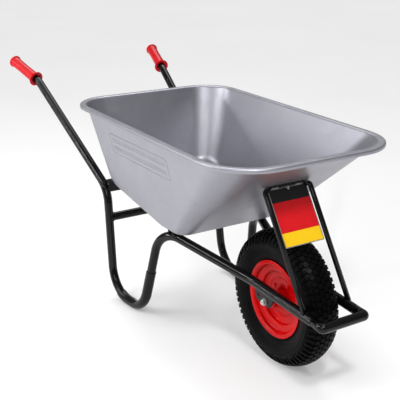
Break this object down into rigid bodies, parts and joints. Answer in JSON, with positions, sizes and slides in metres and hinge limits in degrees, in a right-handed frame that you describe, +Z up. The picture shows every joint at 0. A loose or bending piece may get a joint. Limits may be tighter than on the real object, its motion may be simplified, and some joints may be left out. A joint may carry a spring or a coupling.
{
  "type": "wheelbarrow",
  "caption": "Builder's wheelbarrow: a deep steel tray on a bent tube frame with red grips, loop legs, a front stay with a coloured plate, and a pneumatic wheel.",
  "frame": {"origin": "on the floor below the middle of the barrow's length, on its centre plane", "axes": "+X forward from the handles to the wheel, +Z up, +Y to the left of the person who pushes it"},
  "size_m": [1.5614, 0.6238, 0.7361],
  "materials": {
    "frame_paint": "gloss black powder coat",
    "tray_steel": "satin silver-grey coated sheet",
    "zinc": "bright zinc plate",
    "plate_print": "gloss print in bands",
    "grip_plastic": "satin red moulded plastic",
    "bearing_steel": "ground steel",
    "rim_paint": "gloss red paint",
    "seal_rubber": "matte rubber",
    "tyre_rubber": "matte moulded rubber",
    "tube_rubber": "smooth butyl rubber",
    "brass_stem": "turned brass",
    "cap_plastic": "moulded plastic"
  },
  "bodies": {
    "frame": {"frame_tube_left": "frame_paint", "frame_tube_right": "frame_paint", "front_bow": "frame_paint", "leg_cross_tube": "frame_paint", "rear_bearer": "frame_paint", "knee_bearer": "frame_paint", "front_stay": "frame_paint", "axle_bracket_left": "frame_paint", "axle_bracket_right": "frame_paint", "leg_shoe_left": "frame_paint", "leg_shoe_right": "frame_paint", "tray": "tray_steel", "tray_bolts": "zinc", "tray_washers": "zinc", "tray_nuts": "zinc", "stay_bolt": "zinc", "stay_nut": "zinc", "name_plate": "plate_print", "grip_left": "grip_plastic", "grip_right": "grip_plastic", "axle_bolt": "zinc", "axle_nut": "zinc", "axle_washers": "zinc", "axle_spacers": "zinc", "inner_spacer": "zinc", "bearing_inner_races": "bearing_steel"},
    "wheel": {"tyre": "tyre_rubber", "inner_tube": "tube_rubber", "rim_half_left": "rim_paint", "rim_half_right": "rim_paint", "rim_bolts": "rim_paint", "rim_nuts": "rim_paint", "hub_shell": "rim_paint", "hub_seals": "seal_rubber", "bearing_outer_races": "bearing_steel", "bearing_balls": "bearing_steel", "valve_stem": "brass_stem", "valve_cap": "cap_plastic"}
  },
  "joints": [
    {"name": "wheel_spin", "type": "hinge", "parent": "frame", "child": "wheel", "pos_m": [0.516, 0, 0.2], "axis": [0, 1, 0], "continuous": true}
  ]
}
